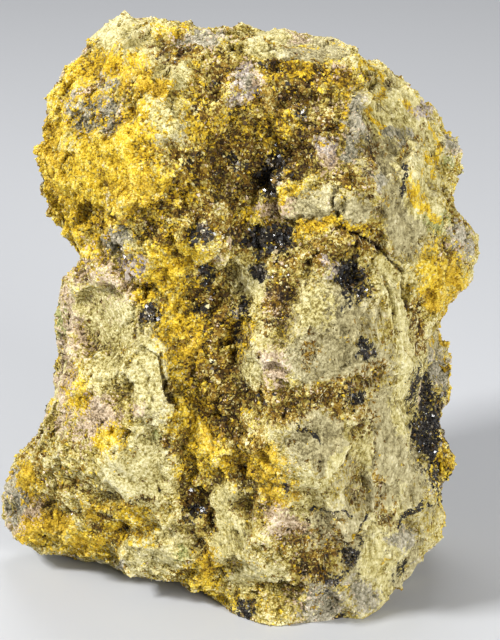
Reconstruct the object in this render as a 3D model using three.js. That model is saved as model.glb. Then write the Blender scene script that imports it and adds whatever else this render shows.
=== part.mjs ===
import * as THREE from 'three';
import { ImprovedNoise } from 'three/addons/math/ImprovedNoise.js';
import { mergeVertices } from 'three/addons/utils/BufferGeometryUtils.js';

// A sklodowskite specimen: one broken piece of weathered ore, crusted with yellow and chalky pale minerals.
// Millimetres, +Z up. The broad face looks towards -Y, and the piece rests on its flat underside.
//
// The outline and the relief are laid out on a drawing plane that faces an eye in front of the piece and
// above it. On that plane x runs to the right and z runs up. Depth y runs away from the eye.

const eyeHeightAngle = THREE.MathUtils.degToRad(22); // the eye looks down on the piece by this angle
const eyeDistance = 280; // from the eye to the drawing plane
const faceLean = THREE.MathUtils.degToRad(6); // the broad face leans back from the vertical
const frontReach = 15; // from the drawing plane to the broad face, without its swells
const backReach = 20; // from the drawing plane to the back face, without its swells
const frontSquareness = 2.8; // how squarely the front turns into the rim: 2 is round, 4 is boxy
const backSquareness = 3.4;
const undersideDrop = 36.0; // from the middle of the drawing plane down to the flat underside
const rimWindow = THREE.MathUtils.degToRad(24); // the rim's own bays and lumps even out over this angle
const rimWindowSteps = 4;
const rimSetback = 0.8; // the evened rim stands back from the outline by this much
const rimBand = 0.55; // the share of the way from the rim to a face in which it evens out
const meshDetail = 21; // each edge of the starting icosahedron is cut into this many parts, plus one
const evenPasses = 32; // how often the mesh is evened out
const evenSink = 0.05; // the share of each move that may leave the surface, which takes zigzags off

// The outline of the piece, clockwise from its peak: x, z and the depth y of the rim there.
const outline = [
  // the peak and the top edge
  [-14.9, 41.2, -2], [-13.4, 40.1, -1], [-11.5, 38.2, 1], [-9.5, 38.9, 5], [-7, 38.8, 6], [-3, 38, 6],
  [2, 37.6, 5], [5.5, 38.8, 5], [8, 37.4, 4], [11, 37, 3], [14.5, 35.4, 2], [18.5, 34.2, 1],
  [20.5, 32, 1], [23, 29.8, 1], [25.5, 28, 2], [27, 25, 4],
  // the knob at the top of the right side
  [29.3, 23.8, 9], [29.5, 22, 9], [29.1, 20, 9], [29.3, 19, 9], [28.2, 18, 8],
  // the three lumps down the right side, set back behind the broad face
  [27.8, 16.8, 6], [28.2, 14.3, 6], [30, 12.7, 8], [31.6, 10.6, 9], [31.2, 8.4, 9], [30.7, 5, 9],
  [29.1, 3.4, 8], [26.7, 0.8, 7], [25.6, -1, 7], [26.9, -3.3, 7], [28.6, -6.8, 8], [27.8, -9.2, 7],
  [26.1, -11.8, 6], [25.8, -14, 6], [27.7, -16.3, 6], [28.7, -18.5, 5], [27.1, -20.4, 4],
  // the lower right corner and the foot
  [26, -21.7, 1], [27.6, -24.4, -2], [27.2, -27, -3], [25.4, -30, -5], [23.4, -33.2, -7],
  [20.8, -35.4, -9], [17.8, -38, -11], [16, -39.3, -12], [12.6, -40.3, -13], [9, -39.8, -13],
  [4.6, -40, -13], [1, -40.2, -13], [-0.4, -37.4, -10], [-3.3, -35.4, -5],
  // the underside of the left slab
  [-7, -34.3, 0], [-11, -33.6, 3], [-16, -32.4, 4], [-19, -32, 4], [-23, -30.9, 5], [-26.4, -29.6, 5],
  [-29.3, -27.6, 5], [-30.3, -26, 6],
  // the left edge of the slab, with the knob behind it
  [-30.2, -22.8, 7], [-29, -18.2, 7], [-26.6, -17.2, 5], [-24.4, -13, 3], [-23.2, -8.5, 4], [-22.6, -4, 6],
  [-24, 0, 10], [-23.3, 3.3, 10], [-21.2, 6, 7], [-19.2, 7.4, 1],
  // the upper left boss
  [-20.8, 9.8, -2], [-23.5, 13.7, -3], [-25.2, 17.6, -3], [-25.7, 22, -3], [-24.4, 25, -3],
  [-23.4, 29.3, -3], [-21.7, 33, -3], [-19, 35, -3], [-17.8, 37.5, -3], [-16.2, 39.6, -2],
];

// Relief of the broad face. A swell stands forward by rise within its radius, and a negative rise is a pit.
const frontSwells = [
  { part: 'upper left boss', x: -12, z: 21, radius: 12, rise: 8 },
  { part: 'shoulder of the boss', x: -14, z: 32, radius: 7, rise: 2.5 },
  { part: 'hollow in the boss', x: -17, z: 23, radius: 4, rise: -1.6 },
  { part: 'pale spur of the boss', x: -7, z: 26, radius: 4.5, rise: 1.6 },
  { part: 'lip of the boss', x: -18, z: 15, radius: 6, rise: 2 },
  { part: 'right mass', x: 14, z: -6, radius: 17, rise: 6.5 },
  { part: 'upper right shoulder', x: 19, z: 22, radius: 9, rise: 4.5 },
  { part: 'brow under the top edge', x: 7, z: 30, radius: 7, rise: 4 },
  { part: 'dark basin', x: 3, z: 19, radius: 6.5, rise: -5.5 },
  { part: 'pale plate', x: 12, z: 14.5, radius: 5, rise: 3 },
  { part: 'pink crystal knob', x: 11, z: 21, radius: 3, rise: 1.5 },
  { part: 'left slab', x: -16, z: -12, radius: 11, rise: 4 },
  { part: 'toe of the slab', x: -24, z: -25, radius: 6, rise: 1.5 },
  { part: 'cheek of the slab', x: -12, z: -27, radius: 7, rise: 3 },
  { part: 'middle step', x: 4, z: -7, radius: 6, rise: 2.4 },
  { part: 'smooth pale cheek', x: 11, z: -16, radius: 6, rise: 3 },
  { part: 'foot', x: 9, z: -33, radius: 10, rise: 6 },
  { part: 'outer fold of the foot', x: 20, z: -27, radius: 7, rise: 3 },
  { part: 'black pit at the upper middle', x: 4.5, z: 10, radius: 2.8, rise: -2.4 },
  { part: 'black pit at the right', x: 15.5, z: 4.8, radius: 2.6, rise: -2.4 },
  { part: 'black pit at the left', x: -2.5, z: 5, radius: 2.4, rise: -1.8 },
  { part: 'black pit of the slab', x: -5.6, z: -24, radius: 2.2, rise: -3 },
  { part: 'olive pit at the upper right', x: 20.5, z: 23, radius: 2.6, rise: -2.6 },
  { part: 'grey hollow of the foot', x: 12, z: -31, radius: 4, rise: -2.2 },
];

// A trough follows a line through its points, and is sunk by depth within its half width.
const frontTroughs = [
  { part: 'groove under the boss', points: [[-25, 8], [-17, 8], [-10, 6]], halfWidth: 3, depth: 2 },
  { part: 'middle groove', halfWidth: 4.2, depth: 2.4,
    points: [[-7, 6], [-5, -3], [-3.4, -12], [-3, -22], [-1, -34]] },
  { part: 'brown seam', points: [[0, 15], [-1, 0], [1, -13]], halfWidth: 2.2, depth: 1.6 },
  { part: 'black vein', points: [[25, -3], [25.5, -14], [26.5, -22]], halfWidth: 1.8, depth: 3.2 },
  { part: 'fold of the foot', points: [[16, -12], [17, -22], [15.5, -32]], halfWidth: 1.6, depth: 1.5 },
];

// A step is a broken edge. On the right of its line, as the line runs, the face drops at once by drop, and
// it comes back over reach.
const frontSteps = [
  { part: 'right edge of the right mass', drop: 7.5, reach: 5,
    points: [[26.6, -23.4], [24.7, -19.5], [22.5, -13.7], [23.5, -7.8], [23.1, -0.7], [19.5, 7.5]] },
  { part: 'left edge of the right mass', drop: 2.6, reach: 5,
    points: [[3, 7.5], [2, 2.6], [1.3, -4], [2, -9.8]] },
  { part: 'brown shelf', drop: 2.4, reach: 2.5,
    points: [[3.9, -8.5], [9.8, -9.1], [15, -8.5], [17.8, -5.9]] },
  { part: 'overhang of the boss', drop: 3, reach: 4,
    points: [[-21.7, 12.4], [-19.5, 15], [-14.3, 13.7], [-11, 11]] },
  { part: 'right edge of the boss', drop: 3, reach: 6,
    points: [[-11, 15.6], [-9.1, 20.2], [-5.9, 24], [-4.6, 28.6], [-6.5, 31.9]] },
  { part: 'front of the top edge', drop: 4, reach: 4,
    points: [[-0.4, 32.8], [-4.6, 36.4], [-9.8, 38.2]] },
  { part: 'golden ledge', drop: 3.6, reach: 5,
    points: [[2, 32.2], [5.2, 31.6], [9.8, 31.9], [14.5, 30]] },
  { part: 'left edge of the shoulder', drop: 2.6, reach: 6,
    points: [[15, 30.5], [13.9, 26], [14.3, 20.8], [15, 15.6]] },
  { part: 'foot of the pale plate', drop: 2.2, reach: 3,
    points: [[6.9, 13.6], [8.5, 12.7], [13, 12.7], [15.6, 11.4]] },
  { part: 'left edge of the slab', drop: 5, reach: 5,
    points: [[-20.8, 7.5], [-20.4, 2.6], [-21.5, -2.6], [-22.8, -7.8], [-25.4, -13], [-28, -20.8]] },
  { part: 'right edge of the slab', drop: 1.9, reach: 5,
    points: [[-5.9, -18.9], [-6.4, -13], [-7.4, -7.8], [-9.1, -3.3], [-11, 1.3]] },
  { part: 'foot of the cream block', drop: 2.6, reach: 3,
    points: [[-16, -16], [-9.8, -16.8], [-6.8, -18.7]] },
  { part: 'lower ledge of the slab', drop: 2.2, reach: 3,
    points: [[-21, -27], [-13.4, -23.8], [-9, -23.5]] },
  { part: 'left edge of the pale tongue', drop: 2.6, reach: 3,
    points: [[-3.9, -22.1], [-2.6, -27.3], [0, -32.5], [2, -36.4]] },
  { part: 'ledge over the grey hollow', drop: 2.4, reach: 3,
    points: [[7.8, -32.6], [11, -32.2], [14.3, -30.8], [16.4, -30.5]] },
];
const stepSlope = 0.9; // a step drops over twice this width

// Relief of the back: broad swells, a scooped break, and two long steps.
const backSwells = [
  { part: 'hump of the back', x: -5, z: 8, radius: 15, rise: 4 },
  { part: 'heel', x: 8, z: -22, radius: 13, rise: 3.5 },
  { part: 'scooped break', x: 13, z: 17, radius: 10, rise: -4.5 },
  { part: 'left flank', x: -17, z: -14, radius: 9, rise: -2.5 },
  { part: 'small boss', x: -12, z: 26, radius: 6, rise: 2.5 },
  { part: 'crystal pocket', x: 2, z: -4, radius: 4, rise: -3 },
];
const backTroughs = [
  { part: 'upper step', points: [[-22, 14], [-8, 19], [6, 30]], halfWidth: 2.4, depth: 2.2 },
  { part: 'lower step', points: [[-20, -20], [-4, -12], [12, -8], [24, -10]], halfWidth: 2.6, depth: 2.4 },
];
const backSteps = [
  { part: 'edge of the scooped break', drop: 2.5, reach: 9,
    points: [[4, 31], [3, 24], [6, 15], [13, 9], [22, 8]] },
  { part: 'long ledge', drop: 2.4, reach: 8,
    points: [[-22, -4], [-12, -8], [-2, -15], [10, -17], [20, -22]] },
  { part: 'cross ledge', drop: 2, reach: 6,
    points: [[-20, 26], [-14, 18], [-12, 8], [-16, 0]] },
];

// Flat breaks: within a radius, what lies beyond the plane through a point, facing a direction, is gone.
const breaks = [
  { part: 'facet beside the peak', through: [-8, -16, 33], facing: [0.45, -0.7, 0.55], radius: 11 },
  { part: 'left face of the boss', through: [-21, -14, 22], facing: [-0.7, -0.7, 0.1], radius: 10 },
  { part: 'overhang of the boss', through: [-18, -17, 11], facing: [-0.3, -0.8, -0.5], radius: 7 },
  { part: 'sloping top', through: [6, -11, 34], facing: [0.1, -0.7, 0.7], radius: 12 },
  { part: 'upper right face', through: [20, -13, 25], facing: [0.55, -0.75, 0.35], radius: 11 },
  { part: 'left face of the slab', through: [-19, -14, -14], facing: [-0.4, -0.9, 0.1], radius: 13 },
  { part: 'bevel over the foot', through: [18, -20, -26], facing: [0.42, -0.88, -0.2], radius: 10 },
  { part: 'back of the top', through: [0, 19, 28], facing: [0.1, 0.72, 0.68], radius: 20 },
  { part: 'upper back', through: [10, 22, 12], facing: [0.32, 0.93, 0.15], radius: 18 },
  { part: 'left back', through: [-18, 17, 2], facing: [-0.62, 0.78, 0.05], radius: 18 },
  { part: 'right back', through: [23, 17, -10], facing: [0.7, 0.7, -0.1], radius: 14 },
  { part: 'upper right corner', through: [22, 14, 24], facing: [0.6, 0.6, 0.5], radius: 14 },
];
const breakSharpness = 0.9; // how much of what lies beyond a break is gone

// Broken rock all over: each grain of the break has a size and stands proud or sinks by a height.
const breakGrains = [
  { size: 12, height: 1.2 },
  { size: 5.5, height: 0.8 },
];
const blockSize = 7; // the break splits into flat-faced blocks about this wide
const blockTilt = 0.34; // how steeply the faces of the blocks tilt from one another
const rimProud = 0.25; // how far the roughness may stand proud of the outline
const faceProud = 4; // how much more it may where the surface faces the eye

const noise = new ImprovedNoise();

function bell(distance, radius) {
  return Math.exp(-((distance / radius) ** 2));
}

// The place on a line nearest to x, z: how far off it is, how far to the right, and how far along.
function nearestOnLine(x, z, points) {
  let nearest = { distance: Infinity };
  for (let i = 0; i + 1 < points.length; i += 1) {
    const [ax, az] = points[i];
    const [bx, bz] = points[i + 1];
    const along = ((x - ax) * (bx - ax) + (z - az) * (bz - az)) / ((bx - ax) ** 2 + (bz - az) ** 2);
    const t = THREE.MathUtils.clamp(along, 0, 1);
    const distance = Math.hypot(x - ax - t * (bx - ax), z - az - t * (bz - az));
    const side = Math.sign((x - ax) * (bz - az) - (z - az) * (bx - ax));
    if (distance < nearest.distance) {
      nearest = { distance, toRight: side * distance, share: (i + t) / (points.length - 1) };
    }
  }
  return nearest;
}

// Troughs and steps are deepest halfway along their line and run out at both ends.
function runOut(share) {
  return Math.sqrt(Math.abs(Math.sin(Math.PI * share)));
}

function troughDepth(x, z, trough) {
  const { distance, share } = nearestOnLine(x, z, trough.points);
  return trough.depth * runOut(share) * bell(distance, trough.halfWidth);
}

function stepDrop(x, z, step) {
  const { distance, toRight, share } = nearestOnLine(x, z, step.points);
  const over = THREE.MathUtils.smoothstep(toRight, -stepSlope, stepSlope);
  return step.drop * over * runOut(share) * Math.exp(-distance / step.reach);
}

function relief(x, z, swells, troughs, steps) {
  let rise = 0;
  for (const swell of swells) rise += swell.rise * bell(Math.hypot(x - swell.x, z - swell.z), swell.radius);
  for (const trough of troughs) rise -= troughDepth(x, z, trough);
  for (const step of steps) rise -= stepDrop(x, z, step);
  return rise;
}

// Where a ray at this angle from the middle of the drawing plane crosses the outline: its reach and depth.
function rimAt(angle) {
  const [dx, dz] = [Math.cos(angle), Math.sin(angle)];
  for (let i = 0; i < outline.length; i += 1) {
    const [ax, az, ay] = outline[i];
    const [bx, bz, by] = outline[(i + 1) % outline.length];
    const crossing = dx * (bz - az) - dz * (bx - ax);
    const share = (dz * ax - dx * az) / crossing;
    const reach = (ax * (bz - az) - az * (bx - ax)) / crossing;
    if (share >= 0 && share <= 1 && reach > 0) return { reach, depth: ay + share * (by - ay) };
  }
  return { reach: 0, depth: 0 };
}

// The rim as it is away from its edge, with its bays and lumps evened out.
function evenedRimAt(angle) {
  const evened = { reach: -rimSetback, depth: 0 };
  const count = 2 * rimWindowSteps + 1;
  for (let step = -rimWindowSteps; step <= rimWindowSteps; step += 1) {
    const rim = rimAt(angle + (step / rimWindowSteps) * rimWindow);
    evened.reach += rim.reach / count;
    evened.depth += rim.depth / count;
  }
  return evened;
}

function breakAway(point) {
  for (const { through, facing, radius } of breaks) {
    const outward = new THREE.Vector3(...facing).normalize();
    const offset = point.clone().sub(new THREE.Vector3(...through));
    const beyond = offset.dot(outward);
    const gone = beyond * breakSharpness * bell(offset.length(), radius * Math.SQRT2);
    if (beyond > 0) point.addScaledVector(outward, -gone);
  }
  return point;
}

// Carries a point of the unit sphere to the rock, on the drawing plane's axes.
function onDrawing(direction) {
  const level = Math.hypot(direction.x, direction.z);
  const steep = Math.abs(direction.y);
  const inFront = direction.y < 0;
  const squareness = inFront ? frontSquareness : backSquareness;
  const stretch = (level ** squareness + steep ** squareness) ** (-1 / squareness);
  const angle = Math.atan2(direction.z, direction.x);
  const edge = rimAt(angle);
  const evened = evenedRimAt(angle);
  const inward = THREE.MathUtils.smoothstep(steep * stretch, 0, rimBand);
  const rimDepth = THREE.MathUtils.lerp(edge.depth, evened.depth, inward);
  const wanted = THREE.MathUtils.lerp(edge.reach, evened.reach, inward) * level * stretch;
  const out = Math.min(wanted, edge.reach);
  const x = level > 0 ? (out * direction.x) / level : 0;
  const z = level > 0 ? (out * direction.z) / level : 0;
  const face = inFront
    ? -frontReach - relief(x, z, frontSwells, frontTroughs, frontSteps)
    : backReach + relief(x, z, backSwells, backTroughs, backSteps);
  return breakAway(new THREE.Vector3(x, rimDepth + (face - rimDepth) * steep * stretch, z));
}

// Turns a point on the drawing's axes into one that stands upright. Each point keeps its line of sight.
function upright(point) {
  const depth = point.y - point.z * Math.tan(eyeHeightAngle - faceLean);
  const spread = 1 + depth / eyeDistance;
  const stood = new THREE.Vector3(point.x * spread, depth, point.z * spread);
  return stood.applyAxisAngle(new THREE.Vector3(1, 0, 0), -eyeHeightAngle);
}

// Slides each point along the surface to the middle of its neighbours, so that no triangle is drawn out.
function evenOut(geometry) {
  const position = geometry.attributes.position;
  const index = geometry.index.array;
  const neighbours = Array.from({ length: position.count }, () => new Set());
  for (let i = 0; i < index.length; i += 3) {
    for (let corner = 0; corner < 3; corner += 1) {
      neighbours[index[i + corner]].add(index[i + ((corner + 1) % 3)]);
      neighbours[index[i + corner]].add(index[i + ((corner + 2) % 3)]);
    }
  }
  const points = neighbours.map((_, i) => new THREE.Vector3().fromBufferAttribute(position, i));
  const outward = new THREE.Vector3();
  for (let pass = 0; pass < evenPasses; pass += 1) {
    geometry.computeVertexNormals();
    const slides = points.map((point, i) => {
      const middle = new THREE.Vector3();
      for (const j of neighbours[i]) middle.addScaledVector(points[j], 1 / neighbours[i].size);
      outward.fromBufferAttribute(geometry.attributes.normal, i);
      const slide = middle.sub(point);
      return slide.addScaledVector(outward, (evenSink - 1) * slide.dot(outward)).multiplyScalar(0.5);
    });
    points.forEach((point, i) => position.setXYZ(i, ...point.add(slides[i])));
  }
}

// Three fixed pseudo-random numbers from 0 to 1 for each cell and use.
function chances(i, j, k, use) {
  const seeds = [use, use + 1, use + 2].map((n) => i * 127.1 + j * 311.7 + k * 74.7 + n * 53.3);
  const waves = seeds.map((seed) => 43758.5453 * Math.sin(seed));
  return new THREE.Vector3(...waves.map((wave) => wave - Math.floor(wave)));
}

// Height of the tilted flat face of the block that this point belongs to.
function blockHeight(point) {
  const home = point.clone().divideScalar(blockSize).floor();
  let nearest = { distance: Infinity, height: 0 };
  for (let n = 0; n < 27; n += 1) {
    const i = home.x - 1 + (n % 3);
    const j = home.y - 1 + (Math.floor(n / 3) % 3);
    const k = home.z - 1 + Math.floor(n / 9);
    const middle = new THREE.Vector3(i, j, k).add(chances(i, j, k, 0));
    const offset = point.clone().addScaledVector(middle, -blockSize);
    const tilt = chances(i, j, k, 3).subScalar(0.5);
    if (offset.length() < nearest.distance) {
      nearest = { distance: offset.length(), height: 2 * blockTilt * offset.dot(tilt) };
    }
  }
  return nearest.height;
}

function roughen(geometry) {
  geometry.computeVertexNormals();
  const position = geometry.attributes.position;
  const normal = geometry.attributes.normal;
  const sight = new THREE.Vector3(0, 1, 0).applyAxisAngle(new THREE.Vector3(1, 0, 0), -eyeHeightAngle);
  const point = new THREE.Vector3();
  const outward = new THREE.Vector3();
  for (let i = 0; i < position.count; i += 1) {
    point.fromBufferAttribute(position, i);
    outward.fromBufferAttribute(normal, i);
    const proud = rimProud + faceProud * outward.dot(sight) ** 2;
    let height = blockHeight(point);
    for (const { size, height: tall } of breakGrains) {
      height += tall * noise.noise(point.x / size, point.y / size, point.z / size);
    }
    point.addScaledVector(outward, Math.min(height, proud));
    position.setXYZ(i, point.x, point.y, point.z);
  }
  geometry.deleteAttribute('normal');
}

// Draws every point below the underside up to it, towards the middle of the piece.
function flattenUnderside(geometry) {
  const position = geometry.attributes.position;
  for (let i = 0; i < position.count; i += 1) {
    const drop = -position.getZ(i);
    if (drop <= undersideDrop) continue;
    const share = undersideDrop / drop;
    position.setXYZ(i, position.getX(i) * share, position.getY(i) * share, -undersideDrop);
  }
}

function specimenGeometry() {
  const sphere = new THREE.IcosahedronGeometry(1, meshDetail);
  sphere.deleteAttribute('normal');
  sphere.deleteAttribute('uv');
  const geometry = mergeVertices(sphere, 1e-5);
  const position = geometry.attributes.position;
  const direction = new THREE.Vector3();
  for (let i = 0; i < position.count; i += 1) {
    direction.fromBufferAttribute(position, i).normalize();
    const point = upright(onDrawing(direction));
    position.setXYZ(i, point.x, point.y, point.z);
  }
  evenOut(geometry);
  roughen(geometry);
  flattenUnderside(geometry);
  geometry.computeBoundingBox();
  const { min, max } = geometry.boundingBox;
  geometry.translate(-(min.x + max.x) / 2, -(min.y + max.y) / 2, -min.z);
  geometry.computeVertexNormals();
  return geometry;
}

const crustedOre = new THREE.MeshStandardMaterial({ color: 0xc2ad52, roughness: 0.85, metalness: 0 });
const specimen = new THREE.Mesh(specimenGeometry(), crustedOre);
specimen.name = 'sklodowskite_specimen';

const group = new THREE.Group();
group.add(specimen);
export default group;
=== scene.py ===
import math

import bmesh
import bpy
import numpy as np
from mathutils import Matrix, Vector, noise


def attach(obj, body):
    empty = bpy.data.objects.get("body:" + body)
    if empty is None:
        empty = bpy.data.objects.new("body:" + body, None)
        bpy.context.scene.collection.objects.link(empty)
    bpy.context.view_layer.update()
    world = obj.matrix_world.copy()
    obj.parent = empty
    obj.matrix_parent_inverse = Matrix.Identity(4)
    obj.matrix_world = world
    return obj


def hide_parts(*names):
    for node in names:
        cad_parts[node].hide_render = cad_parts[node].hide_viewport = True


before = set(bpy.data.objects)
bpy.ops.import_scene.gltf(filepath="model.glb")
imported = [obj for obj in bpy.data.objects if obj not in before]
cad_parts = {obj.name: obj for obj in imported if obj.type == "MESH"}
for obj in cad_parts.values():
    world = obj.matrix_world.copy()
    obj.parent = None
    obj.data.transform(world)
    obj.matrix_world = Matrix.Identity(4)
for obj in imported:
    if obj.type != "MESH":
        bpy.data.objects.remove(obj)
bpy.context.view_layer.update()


# The camera looks down on the specimen by 22 degrees and faces a drawing plane through its middle squarely.
# Places on the broad face are given on that plane from here on, in millimetres: x to the right and z up.
eye_height_angle = math.radians(22)
eye_distance = 0.280
plane_middle = Vector((-0.0001, -0.0005, 0.0360))
away = Vector((0, math.cos(eye_height_angle), -math.sin(eye_height_angle)))
upwards = Vector((0, math.sin(eye_height_angle), math.cos(eye_height_angle)))
aside = 0.00195  # how far left of the picture's middle the specimen stands
frame_middle = plane_middle + Vector((aside, 0, 0))
frame_height = 0.0832  # of the picture, at the drawing plane
sensor_height = 36.0

camera = bpy.data.objects.new("camera", bpy.data.cameras.new("camera"))
camera.location = frame_middle - away * eye_distance
camera.rotation_euler = (math.pi / 2 - eye_height_angle, 0, 0)
camera.data.sensor_width = sensor_height
camera.data.lens = sensor_height * eye_distance / frame_height
camera.data.clip_start = 0.01
bpy.context.scene.collection.objects.link(camera)
bpy.context.scene.camera = camera


# The stage is a plain pale floor. A key light stands at the upper left, a wider one at the right, and one
# above and behind. A weak even light fills the shadows.
floor_half_width = 3
floor_mesh = bpy.data.meshes.new("floor")
floor = bpy.data.objects.new("floor", floor_mesh)
bpy.context.scene.collection.objects.link(floor)
bm = bmesh.new()
bmesh.ops.create_grid(bm, x_segments=1, y_segments=1, size=floor_half_width)
bm.to_mesh(floor_mesh)
bm.free()

floor_paint = bpy.data.materials.new("pale_floor")
floor_paint.use_nodes = True
floor_paint.node_tree.nodes["Principled BSDF"].inputs["Base Color"].default_value = (0.50, 0.51, 0.53, 1)
floor_paint.node_tree.nodes["Principled BSDF"].inputs["Roughness"].default_value = 0.6
floor_mesh.materials.append(floor_paint)


def soft_light(name, place, size, power):
    """A square light of this size and power, in metres and watts, turned to the specimen."""
    light = bpy.data.lights.new(name, "AREA")
    light.size = size
    light.energy = power
    lamp = bpy.data.objects.new(name, light)
    lamp.location = place
    lamp.rotation_euler = (plane_middle - lamp.location).to_track_quat("-Z", "Y").to_euler()
    bpy.context.scene.collection.objects.link(lamp)


soft_light("key", Vector((-0.36, -0.17, 0.40)), 0.09, 3.7)
soft_light("side", Vector((0.32, -0.40, 0.18)), 0.20, 2.7)
soft_light("top", Vector((0.02, 0.25, 0.50)), 0.25, 1.2)

world = bpy.data.worlds.new("studio")
world.use_nodes = True
world.node_tree.nodes["Background"].inputs["Color"].default_value = (0.98, 0.99, 1.0, 1)
world.node_tree.nodes["Background"].inputs["Strength"].default_value = 0.2
bpy.context.scene.world = world
bpy.context.scene.view_settings.view_transform = "Standard"


# The specimen is one broken piece of weathered ore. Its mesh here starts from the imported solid, is cut finer
# and roughened, and carries an amount of each mineral at every point.
MM = 0.001  # a millimetre, in the metres of the scene
rock_mesh = bpy.data.meshes.new("ore")
rock = bpy.data.objects.new("ore", rock_mesh)
bpy.context.scene.collection.objects.link(rock)

bm = bmesh.new()
bm.from_mesh(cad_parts["sklodowskite_specimen"].data)
bmesh.ops.remove_doubles(bm, verts=bm.verts, dist=0.01 * MM)
bmesh.ops.subdivide_edges(bm, edges=bm.edges, cuts=1, use_grid_fill=True)
bmesh.ops.smooth_vert(bm, verts=bm.verts, factor=0.12, use_axis_x=True, use_axis_y=True, use_axis_z=True)
bmesh.ops.subdivide_edges(bm, edges=bm.edges, cuts=1, use_grid_fill=True)


noise.seed_set(4)  # drifts come out the same in every run


def drifts(points, size):
    """A smooth random push at each point, with parts from -1 to 1, that changes over about this size."""
    return np.array([noise.noise_vector(Vector(point) / size)[:] for point in points])


def grain(points, size, seed=0.0, octaves=1):
    """A smooth random height at each point, from about -1 to 1, that changes over about this size."""
    shift = Vector((seed, 7 * seed, 3 * seed))
    if octaves == 1:
        return np.array([noise.noise(Vector(point) / size + shift) for point in points])
    return np.array([noise.fractal(Vector(point) / size + shift, 0.9, 2.1, octaves) for point in points])


def on_drawing_plane(points):
    """Where the camera sees each point: x and z on the drawing plane, in millimetres."""
    offset = points - np.array(plane_middle) / MM
    spread = 1 + offset @ np.array(away) / (eye_distance / MM)
    return np.stack([offset[:, 0], offset @ np.array(upwards)], axis=1) / spread[:, None]


def smooth_step(values, low, high):
    """A share that eases from 0 at the low value to 1 at the high one."""
    share = np.clip((values - low) / (high - low), 0, 1)
    return share * share * (3 - 2 * share)


def in_patches(place, patches):
    """How fully each place lies in any patch: 1 inside, half at its edge, and 0 outside."""
    cover = np.zeros(len(place))
    for x, z, across, tall in patches.values():
        off = ((place[:, 0] - x) / across) ** 2 + ((place[:, 1] - z) / tall) ** 2
        cover = np.maximum(cover, np.exp(-0.7 * off ** 1.4))
    return cover


def along_seams(place, seams):
    """How fully each place lies on any seam, a line through points with a half width."""
    cover = np.zeros(len(place))
    for half_width, *corners in seams.values():
        for start, end in zip(np.array(corners), np.array(corners[1:])):
            run = end - start
            along = np.clip((place - start) @ run / (run @ run), 0, 1)
            off = np.linalg.norm(place - start - along[:, None] * run, axis=1) / half_width
            cover = np.maximum(cover, np.exp(-0.7 * off ** 4))
    return cover


# Where each mineral shows on the broad face. A patch is x, z, its half width and its half height. A seam is
# its half width and the points of its line.
chalk_patches = {
    "peak": (-14.3, 37.5, 4.6, 2.6), "spur": (-9.4, 26.4, 2.4, 2.0), "top edge": (4.3, 36.7, 2.8, 1.6),
    "tongue": (-0.9, -26.0, 2.2, 5.5), "heel": (2.0, -33.2, 1.6, 2.0),
    "slab": (-12.4, -20.8, 4.4, 4.4),
    "slab foot": (-11.0, -29.9, 4.8, 3.0), "outer shoulder": (22.5, 26.5, 3.0, 5.0),
    "lower mass": (4.2, -1.6, 1.6, 2.6), "slab top": (-16.2, 0.0, 2.4, 3.8),
    "middle of the mass": (10.0, 1.6, 2.0, 2.6), "middle block": (1.4, 4.6, 2.4, 2.6),
    "below the cheek": (9.8, -23.4, 3.0, 2.1), "slab knob": (-11.4, -15.2, 2.6, 2.1),
    "left of the slab": (-16.6, -6.6, 2.0, 3.2), "back of the slab": (-19.0, 2.4, 2.0, 2.8),
    "boss foot": (-13.8, 10.2, 1.6, 1.4), "beside the rim": (23.0, 5.4, 1.2, 1.8),
    "fold streak": (17.0, -16.0, 1.2, 4.0), "foot streak": (18.6, -33.0, 2.0, 5.0),
    "right of the foot": (20.4, -27.0, 2.4, 3.6), "middle of the foot": (4.5, -33.6, 2.0, 1.8),
    "cream block": (-11.2, -6.0, 2.4, 4.6), "slab corner": (-6.0, -29.0, 2.2, 1.8),
    "beside the groove": (2.0, -6.6, 1.4, 2.4), "beside the crack": (-6.2, -7.6, 1.1, 1.6),
}
clay_patches = {
    "shoulder": (20.5, 24.3, 4.5, 9.0), "flank": (23.0, 13.6, 3.6, 6.5), "spur": (-8.6, 25.4, 3.4, 3.0),
    "right mass": (12.6, 0.7, 5.4, 4.8), "lower mass": (13.4, -5.2, 7.0, 4.0),
    "cheek": (11.0, -15.6, 5.4, 5.0), "fold": (20.8, -17.5, 6.4, 12.0), "foot": (18.9, -31.5, 6.0, 8.0),
    "cream block": (-10.8, -6.5, 3.2, 6.8), "middle lobe": (26.1, -5.9, 2.4, 5.0),
    "middle of the foot": (13.0, -27.0, 5.0, 4.5),
    "plate": (10.6, 14.6, 4.0, 2.2), "plate side": (15.6, 13.4, 2.4, 2.2), "brow": (8.0, 36.0, 6.0, 1.6),
    "middle block": (1.6, 5.0, 2.2, 2.6), "beside the groove": (2.2, -6.2, 1.9, 3.4),
}
chalk_seams = {
    "ridge": (1.5, (-15.0, 37.5), (-11.0, 35.1), (-7.2, 31.9)),
    "rim": (1.7, (19.5, 6.5), (23.4, -1.3), (23.4, -7.8), (22.5, -13.0)),
    "cheek rim": (0.6, (15.0, -12.4), (15.2, -15.6), (12.4, -21.5)),
    "shoulder": (0.9, (16.9, 34.2), (18.9, 30.9), (18.5, 27.6), (19.4, 25.4), (21.6, 21.6)),
    "outer shoulder": (1.2, (21.5, 28.6), (25.0, 25.7), (26.2, 22.4), (25.0, 19.0)),
    "flank": (1.4, (23.4, 18.6), (24.6, 14.6), (26.4, 12.6)),
}
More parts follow.
